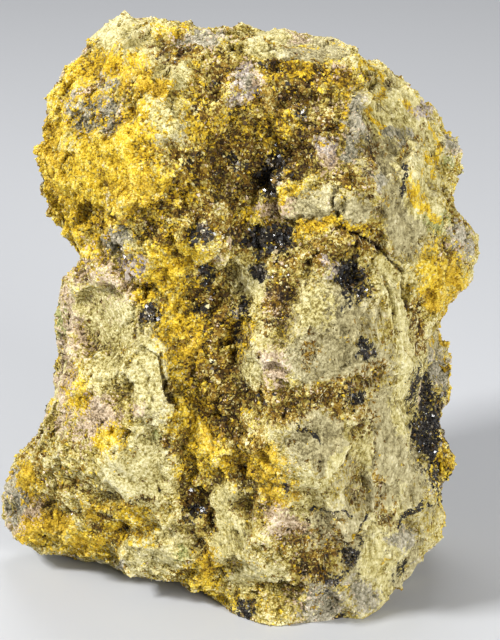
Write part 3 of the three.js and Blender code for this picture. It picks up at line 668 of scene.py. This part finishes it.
# The golden crust is a sugary coat of tiny crystals. Each crust is one joined mesh, and its crystals grow
# where the ore carries that mineral, in clumps that mix with the others. Pull says how strongly each mineral
# draws crystals at each vertex.
dark = ore["brown"]
pull = {
    "golden": 0.1 + ore["golden"] + 0.3 * dark, "amber": ore["amber"] + 0.2 * dark,
    "chalk": 0.12 + ore["chalk"] + 0.8 * ore["green"] + 0.35 * dark, "clay": ore["clay"],
    "rose": 0.06 + ore["rose"] + ore["grey"] + 0.45 * dark, "brown": 0.12 + dark,
    "black": black_spots + 0.4 * dark,
}
for i, name in enumerate(pull):
    pull[name] = (pull[name] * np.maximum(1 + 1.5 * grain(points, 1.1, 30.0 + i), 0.1)) ** 3


def share_of(wanted):
    """How likely a crystal at each vertex is one of the wanted mineral, next to all the others."""
    return pull[wanted] / sum(pull.values())


def clumps(size, seed):
    """A share at each vertex that gathers crystals in clumps of about this size."""
    return smooth_step(grain(points, size, seed), -0.4, 0.35)


# Nothing grows on the ground or in the cracks, and more grows on the broad face. Crystals are coarser in the
# brown and finer in the pale minerals. Their shades differ most in the black, where the palest are painted
# glints.
bare = (points[:, 2] < 0.15) | (crack > 0.3)
view_share = 0.55 + 0.45 * facing
coarse = 1 - 0.45 * pale + 0.25 * np.minimum(dark, 1)
mottled_and_painted_glints = 0.06 + 0.12 * np.minimum(dark, 1) + 0.25 * np.minimum(ore["black"], 1)


downward = -0.9  # the height part of a face's slope, from which on it counts as facing the ground


def grow(name, finish, shape, count, chance, sizes, seed, stretch=(1, 1, 1), laid=0.0, sunk=0.42, extra=0.0,
         soft=False):
    """Grows crystals of one shape on the ore, as one joined mesh that rides with it.

    Chance says where, at each vertex of the ore. Sizes are the smallest and the largest. Laid crystals lie
    along the strands, each turned off them by about this angle, and the others are turned at random. Extra
    is the share of crystals in the finish's second mineral, for the whole crust or at each vertex.
    """
    luck = np.random.default_rng(seed)
    weight = areas * (np.where(bare, 0, chance) * view_share)[triangles].mean(axis=1)
    weight[slopes[:, 2] < downward] = 0
    picked = luck.choice(len(triangles), count, p=weight / weight.sum())
    share = luck.dirichlet((1, 1, 1), count)
    up = slopes[picked]
    size = sizes[0] + (sizes[1] - sizes[0]) * luck.random(count) ** 3
    size *= (coarse[triangles[picked]] * share).sum(axis=1)
    root = (points[triangles[picked]] * share[:, :, None]).sum(axis=1) + up * (size * (0.3 - sunk))[:, None]
    if laid:
        along = np.array(fall) - up * (up @ np.array(fall))[:, None] + laid * luck.normal(size=(count, 3))
        along /= np.linalg.norm(along, axis=1)[:, None]
        side = np.cross(along, up)
        side /= np.linalg.norm(side, axis=1)[:, None]
        turn = np.stack([side, np.cross(side, along), along], axis=2)
    else:
        turn = np.linalg.qr(luck.normal(size=(count, 3, 3)))[0]
    corners, faces = shape
    corners = np.array(corners) * stretch * (0.5 * size)[:, None, None]
    corners = np.einsum("nij,nkj->nki", turn, corners) + root[:, None]
    corners[..., 2] = np.maximum(corners[..., 2], 0.02)
    faces = np.array(faces) + (len(shape[0]) * np.arange(count))[:, None, None]
    mesh = bpy.data.meshes.new(name)
    mesh.from_pydata((corners.reshape(-1, 3) * MM).tolist(), [], faces.reshape(-1, faces.shape[2]).tolist())
    # Each crystal takes the tint of the ore under it, painted shade included.
    shade = (tint[triangles[picked]] * share).sum(axis=1) + 0.06 + 0.2 * grain(root, 1.3, seed)
    shade += (mottled_and_painted_glints[triangles[picked]] * share).sum(axis=1) * luck.normal(size=count)
    blend = (np.broadcast_to(extra, tint.shape)[triangles[picked]] * share).sum(axis=1)
    blend = np.clip((blend - luck.random(count)) * 8, 0, 1)
    each = {"tint": shade, "blend": blend, "chance": luck.random(count)}
    lay_amounts(mesh, {key: np.repeat(values, len(shape[0])) for key, values in each.items()})
    mesh.polygons.foreach_set("use_smooth", [soft] * len(mesh.polygons))
    mesh.materials.append(finish)
    crust = bpy.data.objects.new(name, mesh)
    bpy.context.scene.collection.objects.link(crust)
    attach(crust, "root")


def crystal_finish(name, first, second, shine=0.12, gleam=0.35):
    """A crystal's finish. Its tint moves it along the shades of the first mineral, or of the second.

    Shine is the share of the crystals that are glossy, and gleam is how strongly they reflect.
    """
    material = bpy.data.materials.new(name)
    material.use_nodes = True
    tree = material.node_tree
    shader = tree.nodes["Principled BSDF"]
    place = in_millimetres(tree)
    fine = put(tree, "ShaderNodeTexNoise", {"Vector": place, "Scale": 4.0, "Detail": 2.0})
    light = sums(tree, "ADD", amount(tree, "tint"), swing(tree, fine.outputs["Fac"], 0.7))
    colour = blended(tree, amount(tree, "blend"), shades(tree, light, mineral_shades[first]),
                     shades(tree, light, mineral_shades[second]))
    tree.links.new(colour, shader.inputs["Base Color"])
    glossy = sums(tree, "LESS_THAN", amount(tree, "chance"), shine)
    tree.links.new(sums(tree, "MULTIPLY_ADD", glossy, -0.55, 0.75), shader.inputs["Roughness"])
    shader.inputs["Specular IOR Level"].default_value = gleam
    bump = put(tree, "ShaderNodeBump", {"Height": fine.outputs["Fac"], "Strength": 0.4, "Distance": 0.00008})
    tree.links.new(bump.outputs[0], shader.inputs["Normal"])
    return material


# A crystal is a small double pyramid with three sides.
crystal = ([(1, 0, 0), (-0.5, 0.87, 0), (-0.5, -0.87, 0), (0, 0, 1.2), (0, 0, -1.2)],
           [(0, 1, 3), (1, 2, 3), (2, 0, 3), (1, 0, 4), (2, 1, 4), (0, 2, 4)])
grow("golden_crust", crystal_finish("golden_crystals", "golden", "host"), crystal, 32000,
     share_of("golden") * clumps(1.3, 21), (0.2, 0.75), 21, extra=0.2 + 0.3 * ore["brown"], soft=True)


# The amber crust is the same coat in its deeper, orange kind. It lies on the side of the boss, the toe, the
# groove and the lobes, and golden crystals are mixed into it.
grow("amber_crust", crystal_finish("amber_crystals", "amber", "golden"), crystal, 18000,
     share_of("amber") * clumps(1.3, 29), (0.2, 0.75), 29, extra=0.25, soft=True)


# The chalk crust is a fine pale coat on the peak, the slab, the foot and the rim of the right mass. It turns
# greenish in places.
grow("chalk_crust", crystal_finish("chalk_crystals", "chalk", "green", 0.04), crystal, 24000,
     share_of("chalk") * clumps(1.3, 22), (0.18, 0.6), 22, extra=0.8 * ore["green"], soft=True)


# The clay crust is a dull, pale brown coat on the right side of the broad face. Its crystals are the finest,
# and chalk ones are mixed into it.
grow("clay_crust", crystal_finish("clay_crystals", "clay", "chalk", 0.03), crystal, 13000,
     share_of("clay") * clumps(1.3, 28), (0.16, 0.5), 28, extra=0.2 + ore["chalk"], soft=True)


# The rose crust lies in spots on the slab and the foot and round the basin. Its crystals are rose, or grey
# where the ore is grey.
grow("rose_crust", crystal_finish("rose_crystals", "rose", "grey", 0.05), crystal, 15000,
     share_of("rose") * clumps(1.3, 23), (0.18, 0.65), 23, extra=ore["grey"], soft=True)


# The brown crust is weathered ore that lines the basin, the groove and the other hollows, and it grows too
# where brown is painted shade. Its crystals are coarse and sharp-edged, and some are of the paler host.
grow("brown_crust", crystal_finish("brown_crystals", "brown", "host", 0.15), crystal, 30000,
     share_of("brown") * clumps(1.2, 24), (0.2, 0.75), 24, extra=0.35)


# The black ore is the dense mineral under the crusts. It comes out in shiny blocky crystals, in clusters in
# the middle and in a vein near the right edge.
block = ([(x, y, z) for x in (-0.6, 0.6) for y in (-0.6, 0.6) for z in (-0.6, 0.6)],
         [(0, 1, 3, 2), (4, 6, 7, 5), (0, 4, 5, 1), (2, 3, 7, 6), (0, 2, 6, 4), (1, 5, 7, 3)])
grow("black_ore", crystal_finish("black_crystals", "black", "brown", 0.6, 0.8), block, 7000,
     share_of("black") ** 1.5 * clumps(0.9, 25), (0.2, 0.8), 25, extra=0.18)


# The silky mineral is a fibrous coat on the right side, the peak and the tongue. It is made of thin blades
# laid along its strands and partly sunk in the ore.
blade = ([(1, 0, 0), (0, 1, 0), (-1, 0, 0), (0, -1, 0), (0, 0, 1), (0, 0, -1)],
         [(0, 1, 4), (1, 2, 4), (2, 3, 4), (3, 0, 4), (1, 0, 5), (2, 1, 5), (3, 2, 5), (0, 3, 5)])
grow("silky_blades", crystal_finish("silky_crystals", "clay", "chalk", 0.1), blade, 12000,
     ore["silky"] ** 1.5 * clumps(2.0, 26), (0.7, 1.8), 26, (0.12, 0.08, 1), laid=0.08, sunk=0.31,
     extra=ore["rose"])


# A few larger crystals of a glassy lavender mineral stand in the hollows, more than half sunk in the ore.
# Each is a stretched lump with twenty flat faces.
golden_ratio = (1 + math.sqrt(5)) / 2
lump_corners = [(0, a, b * golden_ratio) for a in (-0.5, 0.5) for b in (-0.5, 0.5)]
lump_corners = [corner[i:] + corner[:i] for i in range(3) for corner in lump_corners]
bm = bmesh.new()
for corner in lump_corners:
    bm.verts.new(corner)
bmesh.ops.convex_hull(bm, input=bm.verts)
bm.verts.index_update()
lump = ([vert.co[:] for vert in bm.verts], [[vert.index for vert in face.verts] for face in bm.faces])
bm.free()
grow("lavender_crystals", crystal_finish("lavender_crystals", "lavender", "grey", 0.8), lump, 16,
     ore["lavender"] ** 4, (1.2, 2.6), 27, (0.45, 0.75, 1), sunk=0.46)
